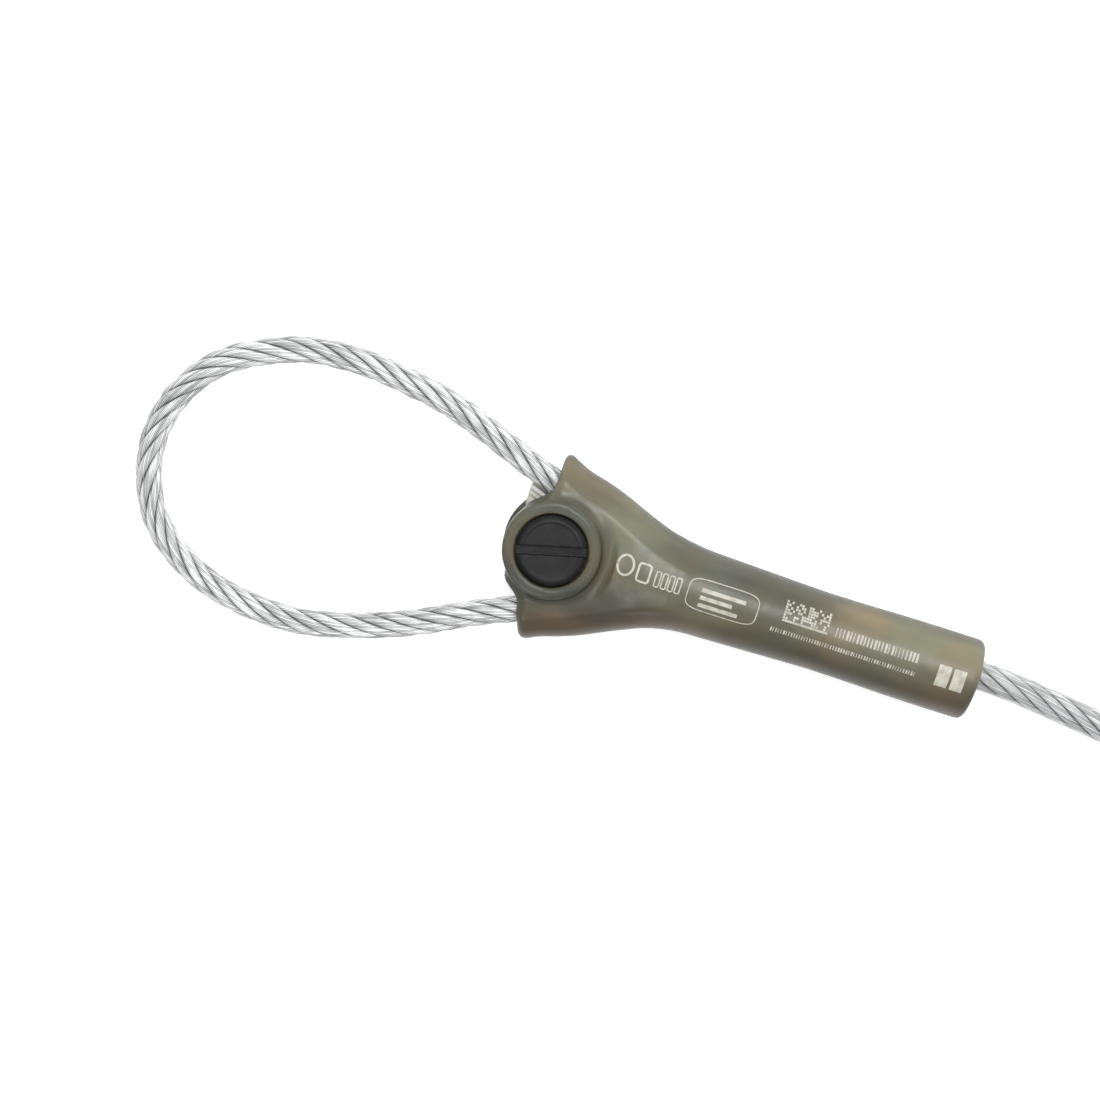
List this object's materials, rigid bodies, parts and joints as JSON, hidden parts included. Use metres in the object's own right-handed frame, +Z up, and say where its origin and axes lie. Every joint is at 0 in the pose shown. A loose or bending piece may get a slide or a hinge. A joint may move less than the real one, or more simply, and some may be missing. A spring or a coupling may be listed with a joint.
{
  "type": "wire rope anchor strop",
  "caption": "Short steel wire strop with an eye at each end, each eye's ferrule under a smoky cover held by a coin-slotted quarter-turn pin.",
  "frame": {"origin": "centre of the flat outer face of the pin socket of end A, on the surface the strop lies on", "axes": "+X along the cover of end A from the pin towards its cable tail, +Z up from that surface, through the pin's coin-slotted head"},
  "size_m": [0.4998, 0.0668, 0.0185],
  "materials": {
    "cover_tpu": "smoky translucent soft plastic, satin skin",
    "spreader_nylon": "moulded nylon, satin",
    "pin_nylon": "fine sparked black nylon",
    "ferrule_aluminium": "pressed, dull",
    "galvanised_rope": "bare galvanised wire, slightly oily",
    "coated_rope": "galvanised wire under a clear plastic coating"
  },
  "bodies": {
    "strop": {"sleeve_cover_a": "cover_tpu", "spreader_a": "spreader_nylon", "pin_socket_a": "pin_nylon", "ferrule_a": "ferrule_aluminium", "rope_dead_end_a": "galvanised_rope", "eye_rope_a": "galvanised_rope", "sleeve_cover_b": "cover_tpu", "spreader_b": "spreader_nylon", "pin_socket_b": "pin_nylon", "ferrule_b": "ferrule_aluminium", "rope_dead_end_b": "galvanised_rope", "eye_rope_b": "galvanised_rope", "coated_cable": "coated_rope"},
    "pin_a": {"coin_pin_a": "pin_nylon"},
    "pin_b": {"coin_pin_b": "pin_nylon"}
  },
  "joints": [
    {"name": "pin_a_turn", "type": "hinge", "parent": "strop", "child": "pin_a", "pos_m": [0, 0, 0.0093], "axis": [0, 0, 1], "range_deg": [0, 90]},
    {"name": "pin_b_turn", "type": "hinge", "parent": "strop", "child": "pin_b", "pos_m": [0.3188, -0.011, 0.0093], "axis": [0, 0, 1], "range_deg": [0, 90]}
  ]
}
